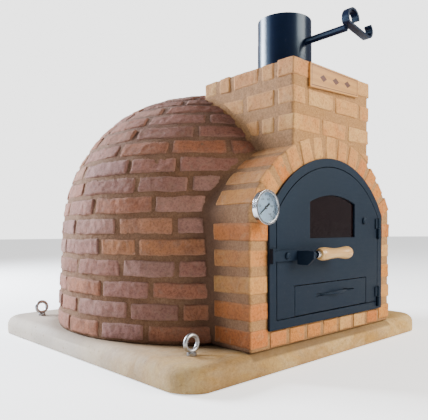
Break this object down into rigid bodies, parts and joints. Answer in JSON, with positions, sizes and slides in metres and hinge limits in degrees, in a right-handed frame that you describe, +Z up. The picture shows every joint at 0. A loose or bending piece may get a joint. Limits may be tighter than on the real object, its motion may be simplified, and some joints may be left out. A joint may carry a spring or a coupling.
{
  "type": "wood fired pizza oven",
  "caption": "Brick-clad domed wood fired oven on a cast slab, with an arched steel door, a window, a draught drawer, a front flue pipe and a scroll damper handle.",
  "frame": {"origin": "middle of the base slab's underside", "axes": "+Z up, the door faces -Y, +X to the right of a person facing the door"},
  "size_m": [1, 1.0378, 0.908],
  "materials": {
    "cast_slab": "hand floated, matt",
    "refractory": "matt",
    "insulating_board": "matt",
    "blanket": "matt",
    "mortar": "rough",
    "dome_brick": "rough",
    "front_brick": "rough",
    "satin_steel": "satin",
    "enamelled_steel": "gloss",
    "zinc_steel": "zinc plated",
    "bright_steel": "polished",
    "dial_face": "matt",
    "needle_black": "matt",
    "dial_glass": "clear",
    "window_glass": "smoked",
    "grip_wood": "varnished",
    "plaque_wood": "satin"
  },
  "bodies": {
    "oven": {"base_slab": "cast_slab", "eye_sockets": "zinc_steel", "eye_bolts": "zinc_steel", "hearth_board": "insulating_board", "hearth_tiles": "refractory", "threshold_slab": "refractory", "inner_dome": "refractory", "insulation_blanket": "blanket", "dome_shell": "mortar", "dome_mortar": "mortar", "dome_bricks": "dome_brick", "porch_mortar": "mortar", "pier_bricks": "front_brick", "arch_bricks": "front_brick", "sill_bricks": "front_brick", "stack_mortar": "mortar", "stack_bricks": "front_brick", "flue_pipe": "enamelled_steel", "plaque": "plaque_wood", "door_frame": "satin_steel", "hinge_frame_halves": "satin_steel", "hinge_pins": "zinc_steel", "latch_keeper": "satin_steel", "thermometer_case": "bright_steel", "thermometer_bezel": "bright_steel", "thermometer_lens": "dial_glass", "thermometer_dial": "dial_face", "thermometer_stem": "bright_steel"},
    "door": {"door_leaf": "satin_steel", "window_glass": "window_glass", "window_retainer": "satin_steel", "retainer_screws": "zinc_steel", "hinge_leaf_halves": "satin_steel", "latch_washer": "satin_steel", "latch_pivot_bolt": "satin_steel", "blanking_bolt": "satin_steel", "drawer_guides": "satin_steel"},
    "drawer": {"drawer_front": "satin_steel", "drawer_tray": "satin_steel", "drawer_pull": "satin_steel"},
    "latch": {"latch_strap": "satin_steel", "latch_arm": "satin_steel", "latch_ferrule": "bright_steel", "latch_grip": "grip_wood"},
    "damper": {"damper_rod": "enamelled_steel", "damper_plate": "enamelled_steel", "damper_screws": "zinc_steel", "damper_scroll": "enamelled_steel"},
    "needle": {"thermometer_needle": "needle_black"}
  },
  "joints": [
    {"name": "door_hinge", "type": "hinge", "parent": "oven", "child": "door", "pos_m": [0.22, -0.489, 0.247], "axis": [0, 0, 1], "range_deg": [0, 110]},
    {"name": "drawer_slide", "type": "slide", "parent": "door", "child": "drawer", "axis": [0, -1, 0], "range_m": [0, 0.085]},
    {"name": "latch_pivot", "type": "hinge", "parent": "door", "child": "latch", "pos_m": [-0.204, -0.493, 0.27], "axis": [0, -1, 0], "range_deg": [0, 60]},
    {"name": "damper_turn", "type": "hinge", "parent": "oven", "child": "damper", "pos_m": [0.008, -0.315, 0.838], "axis": [0, 1, 0], "range_deg": [0, 90]},
    {"name": "needle_turn", "type": "hinge", "parent": "oven", "child": "needle", "pos_m": [-0.288, -0.503, 0.378], "axis": [0, 1, 0], "range_deg": [0, 240]}
  ]
}
